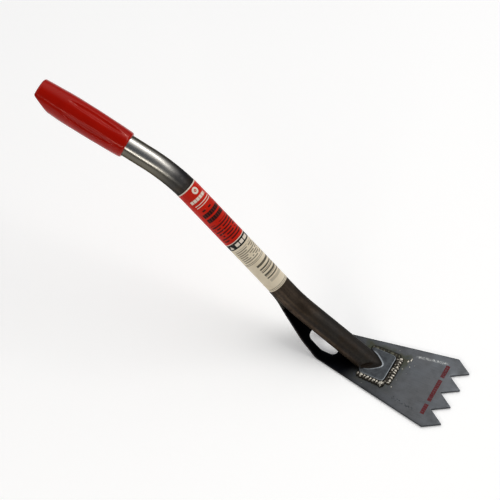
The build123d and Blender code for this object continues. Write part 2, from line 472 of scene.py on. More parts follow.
def foot_section(x):
    """Points (y, z) round an upright section of the foot, evenly spaced in each quadrant."""
    axis_z = PLATE + (AXIS_X - x) * tan(radians(FOOT_RISE))
    centre_z = max(PAD_MIDDLE, axis_z)
    turn = np.linspace(0, 2 * pi, 4 * SECTION_RAYS, endpoint=False)
    ray_y, ray_z = PAD_HALF_WIDTH * np.cos(turn), 5.0 * np.sin(turn)
    length = np.hypot(ray_y, ray_z)
    ray_y, ray_z = ray_y / length, ray_z / length
    near, far = np.zeros_like(turn), np.full_like(turn, SECTION_REACH)
    for _ in range(SECTION_HALVINGS):
        middle = (near + far) / 2
        outside = foot_solid(x, middle * ray_y, centre_z + middle * ray_z) > 0
        far = np.where(outside, middle, far)
        near = np.where(outside, near, middle)
    ys, zs = np.append(near * ray_y, 0), np.append(centre_z + near * ray_z, 0)
    ys[-1], zs[-1] = ys[0], zs[0]
    loop_y, loop_z = [], []
    for quarter in range(4):
        part = slice(quarter * SECTION_RAYS, (quarter + 1) * SECTION_RAYS + 1)
        run = np.concatenate(([0], np.cumsum(np.hypot(np.diff(ys[part]), np.diff(zs[part])))))
        wanted = np.linspace(0, run[-1], TUBE_AROUND // 4, endpoint=False)
        loop_y.extend(np.interp(wanted, run, ys[part]))
        loop_z.extend(np.interp(wanted, run, zs[part]))
    return np.array(loop_y), np.array(loop_z)


def foot_highlights(x, ys, zs, nose_beyond_pad):
    """Where a highlight is painted on the foot: along the pad's upper edge, where it also stands
    for edge wear, and round the nose's base.
    """
    past_x = abs(x) - (PAD_HALF_LENGTH - PAD_CORNER)
    past_y = np.abs(ys) - (PAD_HALF_WIDTH - PAD_CORNER)
    inset = -(np.hypot(max(past_x, 0), np.maximum(past_y, 0))
              + np.minimum(np.maximum(past_x, past_y), 0) - PAD_CORNER)
    level = smoothstep(PAD_TOP - 1.0, PAD_TOP - 0.3, zs)
    edge = level * smoothstep(0.1, 0.4, inset) * (1 - smoothstep(0.8, 1.3, inset))
    reach = 1.3 + 1.3 * smoothstep(-5.0, 3.0, ys)
    base = (smoothstep(0.0, 0.5, nose_beyond_pad)
            * (1 - smoothstep(0.5 * reach, reach, nose_beyond_pad))
            * (1 - smoothstep(PAD_TOP + 0.4, PAD_TOP + 1.3, zs)) * level)
    return np.maximum(0.8 * edge, base) * float(smoothstep(-15.5, -9.0, x))


def tube_stations():
    """Distances along the tube above the foot, closer together in the bends."""
    stations = list(np.arange(41.5, FOOT_RUN, 2.0))
    for start, length, step in ((FOOT_RUN, FOOT_BEND, 2.2), (MAIN_START, MAIN_RUN, 4.0),
                                (MAIN_START + MAIN_RUN, UPPER_BEND, 2.2),
                                (GRIP_RUN_START, GRIP_RUN - 2.0, 4.0)):
        stations.extend(np.linspace(start, start + length, ceil(length / step), endpoint=False))
    return stations


def build_tube(material):
    """Bent tube, lofted from the flattened pad through the nose up to its end in the grip."""
    verts, straight, masks = [], [], {"pad": [], "rim_highlight": [], "fold": []}
    turn = np.linspace(0, 2 * pi, TUBE_AROUND, endpoint=False)
    front = PAD_HALF_LENGTH - np.array([0.01, 0.06, 0.18, 0.38, 0.62, 0.9, 1.25, 1.7, 2.2])
    xs = np.concatenate((front, np.arange(13.3, -18, -0.32), np.arange(-18, -45.1, -1.0)))
    for x in xs:
        ys, zs = foot_section(x)
        nose, pad = foot_fields(np.full_like(ys, x), ys, zs)
        masks["pad"].extend(smoothstep(-0.3, 0.7, nose - pad))
        masks["rim_highlight"].extend(foot_highlights(x, ys, zs, nose - pad))
        masks["fold"].extend(1 - smoothstep(-0.1, 0.9, outside_fold(x, ys, zs)))
        verts.extend((x, y, z) for y, z in zip(ys, zs))
        s = (AXIS_X - x) / cos(radians(FOOT_RISE))
        straight.extend((TUBE_RADIUS * cos(a), TUBE_RADIUS * sin(a), s) for a in turn)
    stations = tube_stations()
    for s in stations:
        x, z, rise = tube_point(s)
        tilt = rise * float(smoothstep(40.0, 92.0, s))
        stretch = TUBE_RADIUS / cos(radians(rise - tilt))
        verts.extend(off_axis(x, z, tilt, TUBE_RADIUS * cos(a), stretch * sin(a)) for a in turn)
        straight.extend((TUBE_RADIUS * cos(a), TUBE_RADIUS * sin(a), s) for a in turn)
    faces = loft_faces(len(xs) + len(stations), TUBE_AROUND)
    tube = make_object("steel_tube", verts, faces, material, ["handle_tube"])
    store_vector(tube, "straight", straight)
    for name, values in masks.items():
        store(tube, name, values + [0.0] * (len(verts) - len(values)))


# ---- blade plate

BEND_LENGTH = (HEEL_RADIUS - PLATE / 2) * radians(TONGUE_RISE)
TONGUE_START_U = HEEL_X - BEND_LENGTH


def bent_point(u, y, w):
    """Where a point of the flat pattern lies once the tongue is bent up at the heel."""
    radius = HEEL_RADIUS - w
    angle = min(max((HEEL_X - u) / (HEEL_RADIUS - PLATE / 2), 0.0), radians(TONGUE_RISE))
    forward, beyond = max(u, HEEL_X), max(TONGUE_START_U - u, 0.0)
    return (forward - radius * sin(angle) - beyond * cos(angle), y,
            HEEL_RADIUS - radius * cos(angle) + beyond * sin(angle))


def half_outline():
    """Left half of the flat pattern: teeth, flared side, tongue and half of the heel hole."""
    pitch = 2 * HALF_WIDTH / TOOTH_COUNT
    points = [(TOOTH_ROOT_X, 0.0)]
    for tooth in range(TOOTH_COUNT // 2):
        points.append((TOOTH_ROOT_X + TOOTH_DEPTH, (tooth + 0.5) * pitch))
        points.append((TOOTH_ROOT_X, (tooth + 1.0) * pitch))
    points.append((HEEL_X, HEEL_HALF_WIDTH))
    for up in np.arange(3.0, TONGUE_STATIONS[-1] + 0.1, 3.0):
        points.append((TONGUE_START_U - up + BEND_LENGTH * max(0.0, 1 - up / 12.0),
                       float(smooth_curve(up, TONGUE_STATIONS, TONGUE_HALF_WIDTHS))))
    points.append((TONGUE_START_U - TONGUE_STATIONS[-1], 0.0))
    hole_rear = TONGUE_START_U - HOLE_UP_TONGUE
    points.append((hole_rear, 0.0))
    for centre_x, start in ((hole_rear + HOLE_CORNER, 180), (HOLE_FRONT_X - HOLE_CORNER, 90)):
        for step in range(9):
            angle = radians(start - step * 90 / 8)
            points.append((centre_x + HOLE_CORNER * cos(angle),
                           HOLE_HALF_WIDTH - HOLE_CORNER + HOLE_CORNER * sin(angle)))
    points.append((HOLE_FRONT_X, 0.0))
    return points


def build_blade(material):
    """Plate with softened sheared edges, cut into strips and then bent at the heel."""
    bm = bmesh.new()
    for side in (1, -1):
        corners = [bm.verts.new((x, side * y, 0.0)) for x, y in half_outline()]
        bm.faces.new(corners if side > 0 else list(reversed(corners)))
    bmesh.ops.remove_doubles(bm, verts=bm.verts, dist=0.001)
    grown = bmesh.ops.extrude_face_region(bm, geom=list(bm.faces))
    top = [v for v in grown["geom"] if isinstance(v, bmesh.types.BMVert)]
    bmesh.ops.translate(bm, verts=top, vec=(0, 0, PLATE))
    bmesh.ops.recalc_face_normals(bm, faces=bm.faces)
    rims = [e for e in bm.edges if len(e.link_faces) == 2 and e.calc_face_angle() > 1.0
            and abs(e.verts[0].co.z - e.verts[1].co.z) < 0.1]
    bmesh.ops.bevel(bm, geom=rims, offset=EDGE_BEVEL, segments=2, profile=0.6,
                    affect="EDGES", clamp_overlap=True)
    cuts = [HEEL_X - BEND_LENGTH * step / 12 for step in range(13)]
    cuts += list(np.arange(-158.0, -74.0, 5.0)) + list(np.arange(-57.0, 96.0, 5.0))
    for u in cuts:
        bmesh.ops.bisect_plane(bm, geom=[*bm.verts, *bm.edges, *bm.faces],
                               plane_co=(u, 0, 0), plane_no=(1, 0, 0))
    for y in np.arange(-45.0, 46.0, 6.0):
        bmesh.ops.bisect_plane(bm, geom=[*bm.verts, *bm.edges, *bm.faces],
                               plane_co=(0, y, 0), plane_no=(0, 1, 0))
    bmesh.ops.dissolve_degenerate(bm, dist=0.02, edges=bm.edges)
    flat = [v.co[:] for v in bm.verts]
    noise.seed_set(WANDER_SEED)  # noise_vector starts from the clock otherwise
    for vert in bm.verts:
        u, y, w = vert.co
        wander = noise.noise_vector(Vector((u, y, 0)) / WANDER_SPACING) * EDGE_WANDER
        if abs(y) > 0.5:
            y += wander.y * (1 if y > 0 else -1)
        u = min(u + wander.x, TOOTH_ROOT_X + TOOTH_DEPTH)
        y = min(max(y, -HALF_WIDTH), HALF_WIDTH)
        vert.co = Vector(bent_point(u, y, w)) * MM
    for edge in bm.edges:
        edge.smooth = not (len(edge.link_faces) == 2 and edge.calc_face_angle() > 0.6)
    mesh = bpy.data.meshes.new("toothed_blade")
    finish_mesh(bm, mesh)
    blade = place("toothed_blade", mesh, material, ["blade"])
    store_vector(blade, "flat", flat)


# ---- grip

def grip_radius(v, angle):
    """The grip's outer radius at a distance from its mouth and an angle round its axis."""
    radius = float(smooth_curve(v, GRIP_STATIONS, GRIP_RADII))
    reach = 1 - ((v - FLUTE_MIDDLE) / FLUTE_HALF_LENGTH) ** 2
    if reach > 0:
        pitch = 2 * pi / FLUTE_COUNT
        off = (angle - radians(BEVEL_DIRECTION) + pitch / 2) % pitch - pitch / 2
        share = abs(off) * radius / (FLUTE_HALF_WIDTH * sqrt(reach))
        if share < 1:
            radius -= FLUTE_DEPTH * min(1.0, 1.6 * reach) * (1 - share * share) ** 1.5
    facing = cos(angle - radians(BEVEL_DIRECTION))
    if v > BEVEL_START - 6 and facing > 0.15:
        height = BEVEL_HEIGHT - (v - BEVEL_START) * tan(radians(BEVEL_SLOPE))
        radius = float(soft_min(radius, height / facing, BEVEL_EDGE_ROUND))
    end = max(0.0, (v - GRIP_ROUNDING_START) / (0.9 * GRIP_ROUNDING))
    return radius - GRIP_END_DROP * (1 - sqrt(max(0.0, 1 - min(end, 1.0) ** 2)))


def build_grip(material):
    """Dipped sleeve with a rolled mouth, long flutes and an end pinched flat on one side."""
    mouth = ((4.0, 12.5), (0.9, 12.72), (0.3, 12.95), (0.0, 13.5), (0.1, 13.9), (0.35, 14.42),
             (0.75, 14.86), (1.3, 15.2), (2.0, 15.44))
    stations = [3.0, 5.0] + list(np.arange(7.0, 95.0, 1.5))
    stations += list(np.arange(95.0, GRIP_ROUNDING_START, 1.0))
    stations += [GRIP_ROUNDING_START + 0.9 * GRIP_ROUNDING * sin(radians(a))
                 for a in range(5, 91, 8)]
    verts, local = [], []
    turn = np.linspace(0, 2 * pi, GRIP_AROUND, endpoint=False)
    loops = [(v, [radius] * GRIP_AROUND) for v, radius in mouth]
    loops += [(v, [grip_radius(v, a) for a in turn]) for v in stations]
    last = loops[-1][1]
    for share, short in ((0.96, 0.25), (0.88, 0.15), (0.65, 0.08), (0.4, 0.04), (0.15, 0.02)):
        loops.append((GRIP_LENGTH - short, [radius * share for radius in last]))
    for v, radii in loops:
        x, z, rise = tube_point(GRIP_START + v)
        for a, radius in zip(turn, radii):
            across, up = radius * cos(a), radius * sin(a)
            verts.append(off_axis(x, z, rise, across, up))
            local.append((across, up, v))
    grip = make_object("vinyl_grip", verts, loft_faces(len(loops), GRIP_AROUND), material,
                       ["grip"])
    store_vector(grip, "straight", local)


# ---- label

def build_label(material):
    """Printed film wrapped once round the tube, with its end lapped over its start below."""
    columns, rows = LABEL_COLUMNS, LABEL_ROWS
    span = radians(360 + LABEL_OVERLAP)
    verts, printed = [], []
    for lift in (LABEL_RAISE, LABEL_SINK):
        for v in np.linspace(0, LABEL_LENGTH, rows):
            x, z, rise = tube_point(LABEL_START + v)
            for column in range(columns):
                wound = span * column / (columns - 1)
                angle = radians(SEAM_DIRECTION) + wound
                lap = float(smoothstep(radians(352.0), radians(359.0), wound))
                radius = TUBE_RADIUS + lift + LAP_RAISE * lap * (lift > 0)
                verts.append(off_axis(x, z, rise, radius * cos(angle), radius * sin(angle)))
                printed.append(((radians(PRINT_DIRECTION) - angle) * TUBE_RADIUS, v, lift))
    layer = rows * columns
    faces = []
    for row in range(rows - 1):
        for column in range(columns - 1):
            a = row * columns + column
            quad = (a, a + 1, a + columns + 1, a + columns)
            faces.append(quad)
            faces.append(tuple(layer + corner for corner in reversed(quad)))
    for column in range(columns - 1):
        for a in (column, (rows - 1) * columns + column):
            faces.append((a, a + 1, layer + a + 1, layer + a))
    for row in range(rows - 1):
        for a in (row * columns, row * columns + columns - 1):
            faces.append((a, a + columns, layer + a + columns, layer + a))
    label = make_object("printed_label", verts, faces, material, ["label_wrap"])
    store_vector(label, "printed", printed)


# ---- welds

def bead(name, path, half_width, height, pitch, material, replaces=(), seed=0, lean=0.25,
         swell=None, rough=0.12, depth=0.24, gain=1.0):
    """A weld bead swept along points, with one rounded crest for each step of the torch.

    lean tips the ripples back at the sides, depth is how deep they are, rough how lumpy the bead
    is, swell(share of the length) its growth, and gain how bright the painted highlight on its
    crests is.
    """
    path = [Vector(p) for p in path]
    run = [0.0]
    for a, b in zip(path, path[1:]):
        run.append(run[-1] + (b - a).length)
    total, samples = run[-1], max(24, int(run[-1] / BEAD_STEP))
    verts, crests = [], []
    for i in range(samples + 1):
        s = total * i / samples
        k = min(max(j for j, r in enumerate(run) if r <= s + 1e-9), len(path) - 2)
        centre = path[k].lerp(path[k + 1], (s - run[k]) / max(run[k + 1] - run[k], 1e-9))
        along = (path[min(k + 2, len(path) - 1)] - path[max(k - 1, 0)]).normalized()
        side = along.cross(Vector((0, 0, 1))).normalized()
        up = side.cross(along).normalized()
        taper = min(1.0, sqrt(max(0.0, min(s, total - s) + 0.02) / (0.55 * half_width)))
        grow = swell(s / total) if swell else 1.0
        for j in range(BEAD_AROUND):
            a = 2 * pi * j / BEAD_AROUND
            phase = s / pitch + lean * cos(a) ** 2 + 0.42 * noise.noise((s / 6, seed, 0))
            ripple = abs(sin(pi * phase)) ** 0.55
            strength = 0.75 + 0.25 * noise.noise((int(phase) * 3.7, seed * 1.3, 1.0))
            lump = noise.noise(centre / 2.6 + Vector((cos(a), sin(a), seed)) * 0.9)
            size = taper * grow * (1.04 - depth + depth * ripple * strength + rough * lump)
            point = centre + side * (half_width * size * cos(a)) + up * (height * size * sin(a))
            point.z = max(point.z, BEAD_LOWEST)
            verts.append(point)
            # Painted highlight and shade: the crest value, which the material paints bright, is
            # highest on the ripples' crests and on the bead's upper side, and low in the valleys.
            top = 0.25 + 0.75 * max(0.0, sin(a)) ** 1.5
            crest = ripple ** 1.5 * top * (0.5 + 0.6 * strength * grow) + 0.7 * lump
            crests.append(min(1.0, max(0.0, gain * crest)))
    faces = loft_faces(samples + 1, BEAD_AROUND)
    piece = make_object(name, verts, faces, material, replaces)
    store(piece, "crest", crests)


def build_foot_welds(bright, dark):
    """Even ripples on the right, two ragged rows across the front, a smoother bead on the left."""
    right = [(-17.0, -20.2, 3.1), (0.0, -21.0, 3.1), (14.0, -21.2, 3.1), (18.5, -19.8, 3.1)]
    bead("weld_right", right, 4.0, 3.5, 4.1, bright, ["foot_weld_right"], seed=3,
         lean=0.1, depth=0.32, swell=lambda t: 1.0 + 0.35 * float(smoothstep(0.82, 0.93, t)))
    inner = [(17.8, -18.5, 3.2), (18.2, -6.0, 3.2), (18.0, 6.0, 3.2), (18.2, 18.5, 3.2)]
    bead("weld_front_inner", inner, 2.7, 2.9, 3.3, bright, ["foot_weld_front"],
         seed=7, rough=0.32, gain=0.62)
    outer = [(21.2, -18.8, 3.0), (21.8, -5.0, 3.0), (21.5, 8.0, 3.0), (21.0, 22.0, 3.0)]
    bead("weld_front_outer", outer, 2.9, 2.3, 3.9, bright, seed=11, rough=0.34)
    left = [(20.0, 21.0, 3.1), (8.0, 21.4, 3.1), (-4.0, 21.0, 3.1), (-17.0, 19.6, 3.1)]
    bead("weld_left", left, 4.2, 2.7, 4.6, dark, ["foot_weld_left"], seed=17,
         depth=0.12, gain=0.8)


def tube_gap(point):
    """Distance from a point to the tube's surface, and the nearest point on its axis."""
    axis = [Vector((x, 0, z)) for x, z, _ in map(tube_point, range(20, 160))]
    nearest = min(axis, key=lambda on_axis: (point - on_axis).length)
    return (point - nearest).length - TUBE_RADIUS, nearest


def build_tongue_weld(material):
    """Bead up one edge of the tongue, round its end and back, under the tube."""
    path = []
    ups = np.arange(64.0, TONGUE_STATIONS[-1] + 0.1, 2.0)
    for side in (1, -1):
        part = []
        for up in ups:
            width = float(smooth_curve(up, TONGUE_STATIONS, TONGUE_HALF_WIDTHS))
            edge = Vector(bent_point(TONGUE_START_U - up, side * width, PLATE * 0.6))
            gap, axis_point = tube_gap(edge)
            towards = (axis_point - edge).normalized()
            part.append(edge + towards * gap * 0.5)
        path.extend(part if side > 0 else reversed(part))
    bead("weld_tongue", path, 1.7, 1.7, 3.0, material, ["tongue_weld"], seed=23, rough=0.2)


def build_spatter(material):
    """Flattened droplets that the torch threw on the plate round the front bead."""
    drops = ((28.8, 21.0, 0.9, 1.7), (31.4, 24.7, 0.8, 2.4), (33.5, 14.9, 0.6, 0.7),
             (27.2, 9.0, 0.4, 0.5), (27.5, -8.0, 0.3, 0.35), (26.5, -19.0, 0.5, 0.8),
             (-6.0, -29.5, 0.25, 0.3), (34.0, 5.0, 0.22, 0.25), (14.0, 30.5, 0.3, 0.4),
             (38.0, 19.0, 0.25, 0.3))
    bm = bmesh.new()
    for number, (x, y, along_x, along_y) in enumerate(drops):
        ball = bmesh.ops.create_icosphere(bm, subdivisions=3, radius=1.0)
        for vert in ball["verts"]:
            lump = 1 + 0.25 * noise.noise(vert.co * 1.3 + Vector((number * 5.0, 0, 0)))
            vert.co = Vector((x + vert.co.x * along_x * lump, y + vert.co.y * along_y * lump,
                              PLATE + vert.co.z * 0.45 * min(along_x, along_y) * lump)) * MM
    mesh = bpy.data.meshes.new("weld_spatter")
    finish_mesh(bm, mesh)
    piece = place("weld_spatter", mesh, material)
    # Painted highlight: each droplet gets a high crest value, so it is painted bright all over.
    store(piece, "crest", [0.9] * len(mesh.vertices))


# ---- materials

BROWN_OXIDE = (0.042, 0.038, 0.034)
WARM_OXIDE = (0.096, 0.070, 0.050)
CHARCOAL = (0.030, 0.031, 0.038)
BRIGHT_STEEL = (0.60, 0.58, 0.54)
PLATE_STEEL = (0.074, 0.080, 0.088)
# Painted shade colour for the fold below the nose's crease.
FOLD_SHADE_COLOUR = (0.016, 0.011, 0.008)
# Painted shade colour: olive grey for the bright tube's underside and +Y side.
UNDERSIDE_SHADE_COLOUR = (0.105, 0.095, 0.072)
BLADE_INK = (0.075, 0.003, 0.005)
CREAM, CREAM_WORN = (0.74, 0.65, 0.50), (0.64, 0.55, 0.40)
RED, RED_WORN = (0.56, 0.011, 0.001), (0.49, 0.009, 0.001)
BLACK, PALE, GREY = (0.009, 0.005, 0.004), (0.74, 0.66, 0.56), (0.085, 0.075, 0.055)


def tube_material():
    """Bright drawn steel near the grip that turns to dark heat oxide towards the blade."""
    m = Shader(bpy.data.materials.new("tube_steel"))
    straight = m.attribute("straight", "Vector")
    left, _, along = m.axes(straight)
    position = m.position()
    _, _, height = m.axes(position)
    streaks = m.noise(m.scaled(straight, (900.0, 900.0, 9.0)), 1.0, 4.0)
    bands = m.noise(m.scaled(straight, (130.0, 130.0, 4.0)), 1.0, 2.0)
    cloud = m.noise(position, 38.0, 4.0)
    fine = m.noise(position, 420.0, 5.0, 0.65)
    reach = m.plus(along, m.range(cloud, 0.0, 1.0, -0.015, 0.015, smooth=False))
    reach_bright = m.minus(reach, m.times(left, 1.1))
    brightness = m.range(reach_bright, 0.303, 0.364)
    below_label = m.range(reach, 0.150, 0.175, 1.0, 0.0)
    normal = m.node("ShaderNodeNewGeometry").outputs["Normal"]
    _, facing_left, facing_up = m.axes(normal)
    brown = m.mix(m.range(facing_up, 0.05, 0.50, 1.0, 0.0), BROWN_OXIDE, WARM_OXIDE)
    brown = m.mix(m.range(reach, 0.065, 0.115), brown, (0.104, 0.075, 0.053))
    dark = m.mix(below_label, CHARCOAL, brown)
    dark = m.mix(m.range(cloud, 0.42, 0.70), dark, (0.046, 0.031, 0.020))
    dark = m.mix(m.range(bands, 0.38, 0.66, 0.0, 0.65), dark, (0.016, 0.015, 0.015))
    dark = m.mix(m.range(fine, 0.35, 0.75, 0.0, 0.40), dark, (0.012, 0.011, 0.010))
    bright = m.mix(m.range(streaks, 0.3, 0.8, 0.0, 0.5), BRIGHT_STEEL, (0.40, 0.39, 0.37))
    # Painted shade: the bright steel turns olive grey where it faces down and on the side facing
    # +Y.
    shaded_sides = m.either(m.range(facing_up, 0.48, 0.66, 1.0, 0.0),
                      m.range(facing_left, 0.02, 0.50, 0.0, 0.92))
    bright = m.mix(m.times(shaded_sides, 0.90), bright, UNDERSIDE_SHADE_COLOUR)
    steel = m.mix(brightness, dark, bright)
    pad = m.times(m.attribute("pad"), m.range(height, 0.0030, 0.0050))
    mottle = m.noise(position, 150.0, 5.0, 0.6)
    pad_steel = m.mix(m.range(mottle, 0.35, 0.7), (0.058, 0.064, 0.070), (0.034, 0.037, 0.041))
    steel = m.mix(pad, steel, pad_steel)
    # Painted highlight: pale blue-grey along the pad's upper edge (partly edge wear) and round the
    # nose's base.
    wear_and_highlight = m.times(m.attribute("rim_highlight"), m.range(fine, 0.25, 0.55, 0.45, 1.0))
    steel = m.mix(wear_and_highlight, steel, (0.25, 0.27, 0.29))
    # Painted shade: the pressed fold below each crease is darkened to near black.
    fold_shade = m.times(m.attribute("fold"), m.range(fine, 0.2, 0.6, 0.7, 0.95))
    steel = m.mix(fold_shade, steel, FOLD_SHADE_COLOUR)
    m.set("Base Color", steel)
    m.set("Metallic", m.blend(m.either(brightness, pad), 0.72, 1.0))
    rough = m.blend(brightness, 0.43, 0.26)
    speck = m.blend(brightness, 0.12, 0.03)
    rough = m.plus(rough, m.times(m.range(fine, 0.3, 0.8, -0.4, 1.0), speck))
    m.set("Roughness", m.plus(rough, m.range(streaks, 0.3, 0.7, -0.02, 0.03)))
    m.set("Specular Tint", (0.22, 0.20, 0.18))
    grain = m.bump(streaks, 0.00001, 0.4)
    m.set("Normal", m.bump(fine, 0.00002, 0.3, grain))
    return m.material


def blade_material():
    """Mill-finished plate: mottled blue-grey, heat-stained by the welds, with generic marks."""
    m = Shader(bpy.data.materials.new("blade_steel"))
    flat = m.attribute("flat", "Vector")
    u, y, w = m.axes(flat)
    cloud = m.noise(flat, 24.0, 5.0)
    mottle = m.noise(flat, 95.0, 5.0, 0.6)
    fine = m.noise(flat, 900.0, 4.0, 0.6)
    rolled = m.noise(m.scaled(flat, (60.0, 1400.0, 60.0)), 1.0, 3.0)
    steel = m.mix(m.range(cloud, 0.3, 0.7), PLATE_STEEL, (0.070, 0.072, 0.076))
    steel = m.mix(m.range(mottle, 0.45, 0.75, 0.0, 0.4), steel, (0.052, 0.055, 0.056))
    steel = m.mix(m.range(rolled, 0.4, 0.8, 0.0, 0.3), steel, (0.105, 0.110, 0.118))
    # Painted shade and light: the plate is darkened towards the rear and the -Y weld, where the
    # tube's shadow falls, and lightened towards the teeth.
    towards_teeth = m.plus(u, m.times(y, 0.8))
    wear_and_painted_light = m.times(m.range(towards_teeth, -0.030, 0.022, 0.55, 1.0),
                  m.range(towards_teeth, 0.045, 0.110, 1.0, 1.22))
    steel = m.mix(1.0, steel, m.join(wear_and_painted_light, wear_and_painted_light, wear_and_painted_light), "MULTIPLY")
    from_weld = m.either(m.minus(m.apart(u, 0.002), 0.022), m.minus(m.apart(y, 0.0), 0.0235))
    from_weld = m.plus(from_weld, m.range(mottle, 0.2, 0.8, -0.004, 0.004))
    tint = m.range(from_weld, 0.0, 0.009, 1.0, 0.0)
    left_side = m.range(y, -0.02, 0.02, 0.35, 1.0)
    stain = m.ramp(m.noise(flat, 130.0, 3.0), (0.3, (0.040, 0.032, 0.018)),
                   (0.5, (0.038, 0.042, 0.026)), (0.7, (0.034, 0.040, 0.052)))
    steel = m.mix(m.times(tint, left_side, 0.85), steel, stain)
    # Painted shade: on the top face, the rear of the plate and the tongue under the tube are near
    # black, reaching further forward on the -Y side; their underside is dark oxide.
    edge = m.plus(u, m.range(cloud, 0.2, 0.8, -0.008, 0.008))
    edge = m.plus(edge, m.range(y, -0.015, 0.015, -0.013, 0.004))
    rear = m.range(edge, -0.050, -0.020, 1.0, 0.0)
    top_face = m.range(w, 0.0022, 0.0028)
    oxide = m.mix(m.range(mottle, 0.35, 0.70), (0.020, 0.019, 0.020), (0.034, 0.028, 0.022))
    oxide = m.mix(m.range(rolled, 0.4, 0.8, 0.0, 0.4), oxide, (0.042, 0.042, 0.044))
    steel = m.mix(rear, steel, m.mix(top_face, oxide, (0.0035, 0.004, 0.0055)))
    steel, marked = blade_marks(m, steel, u, y, top_face)
    m.set("Base Color", steel)
    m.set("Metallic", m.minus(0.95, m.times(marked, 0.5)))
    rough = m.range(mottle, 0.3, 0.75, 0.36, 0.50)
    m.set("Roughness", m.plus(rough, m.range(fine, 0.3, 0.7, -0.04, 0.04)))
    m.set("Specular Tint", (0.45, 0.45, 0.47))
    relief = m.bump(mottle, 0.00012, 0.5)
    m.set("Normal", m.bump(fine, 0.00004, 0.4, relief))
    return m.material


def blade_marks(m, steel, u, y, top_face):
    """Worn red bars behind the teeth, bright scuffs and dull pecks, none of them letters."""
    flat = m.join(u, y, 0.0)
    # Real wear: noise that wears the red ink and frays the scuffs.
    wear_and_painted_light = m.noise(flat, 700.0, 4.0, 0.7)
    band = m.inside(u, 0.0697, 0.0746, 0.00012)
    groups = m.either(m.inside(y, -0.0360, -0.0215), m.inside(y, -0.0170, 0.0150),
                      m.inside(y, 0.0186, 0.0368))
    cells = m.range(m.repeat(y, 0.0029, "FRACT"), 0.0, 0.14, 0.25, 1.0)
    ink = m.times(band, groups, cells, m.range(wear_and_painted_light, 0.34, 0.48), top_face)
    steel = m.mix(ink, steel, BLADE_INK)
    off_scuffs = m.apart(y, m.math("MULTIPLY_ADD", u, 0.196, 0.0251))
    hairlines = m.noise(m.scaled(flat, (170.0, 2600.0, 1.0)), 1.0, 3.0)
    dents = m.range(m.noise(m.scaled(flat, (380.0, 520.0, 1.0)), 1.0, 5.0, 0.7), 0.47, 0.62)
    ragged = m.plus(off_scuffs, m.range(wear_and_painted_light, 0.2, 0.8, -0.0009, 0.0009))
    scuffs = m.times(m.range(ragged, 0.0002, 0.0024, 1.0, 0.0), m.inside(u, 0.036, 0.070, 0.003),
                    m.either(m.range(hairlines, 0.52, 0.62), dents), top_face)
    steel = m.mix(scuffs, steel, (0.40, 0.41, 0.40))
    off_pecks = m.apart(y, m.math("MULTIPLY_ADD", u, -0.174, -0.0253))
    pits = m.range(m.cells(flat, 480.0), 0.32, 0.48, 1.0, 0.0)
    pecks = m.times(m.range(off_pecks, 0.0010, 0.0026, 1.0, 0.0),
                   m.inside(u, 0.033, 0.060, 0.001), pits, top_face)
    steel = m.mix(m.times(pecks, 0.8), steel, (0.024, 0.026, 0.029))
    return steel, ink


def grip_material():
    """Dipped vinyl: deep red, softly glossy, a little scuffed along its high parts."""
    m = Shader(bpy.data.materials.new("grip_vinyl"))
    straight = m.attribute("straight", "Vector")
    cloud = m.noise(straight, 40.0, 3.0)
    skin = m.noise(straight, 520.0, 4.0)
    scuff = m.noise(m.scaled(straight, (260.0, 260.0, 60.0)), 1.0, 5.0, 0.7)
    red = m.mix(m.range(cloud, 0.3, 0.7), (0.36, 0.0058, 0.0015), (0.32, 0.0046, 0.0012))
    red = m.mix(m.range(scuff, 0.60, 0.80, 0.0, 0.3), red, (0.25, 0.014, 0.008))
    m.set("Base Color", red)
    rough = m.range(scuff, 0.35, 0.75, 0.09, 0.18)
    m.set("Roughness", m.plus(rough, m.range(skin, 0.3, 0.7, -0.03, 0.03)))
    m.set("Specular IOR Level", 0.28)
    m.set("Specular Tint", (1.0, 0.50, 0.45))
    m.set("Normal", m.bump(skin, 0.00007, 0.25, m.bump(cloud, 0.0004, 0.3)))
    return m.material


def bar(m, a, v, field):
    """1 inside a field (left, right, bottom, top) of the label."""
    left, right, bottom, top = field
    return m.times(m.inside(a, left, right, 0.00012), m.inside(v, bottom, top, 0.00012))


def dashes(m, a, v, field, pitch, thickness, length, gaps):
    """Rows of short bars of uneven length inside a field; gaps is the share left out."""
    left, right, bottom, top = field
    row = m.math("DIVIDE", m.minus(v, bottom), pitch)
    in_row = m.inside(m.math("FRACT", row), 0.3, 0.3 + thickness / pitch, 0.04)
    white = m.node("ShaderNodeTexWhiteNoise", noise_dimensions="2D")
    m.feed(white.inputs["Vector"], m.join(m.repeat(a, length, "FLOOR"), m.math("FLOOR", row)))
    shown = m.math("GREATER_THAN", white.outputs["Value"], gaps)
    return m.times(in_row, shown, m.inside(a, left, right), m.inside(v, bottom, top))


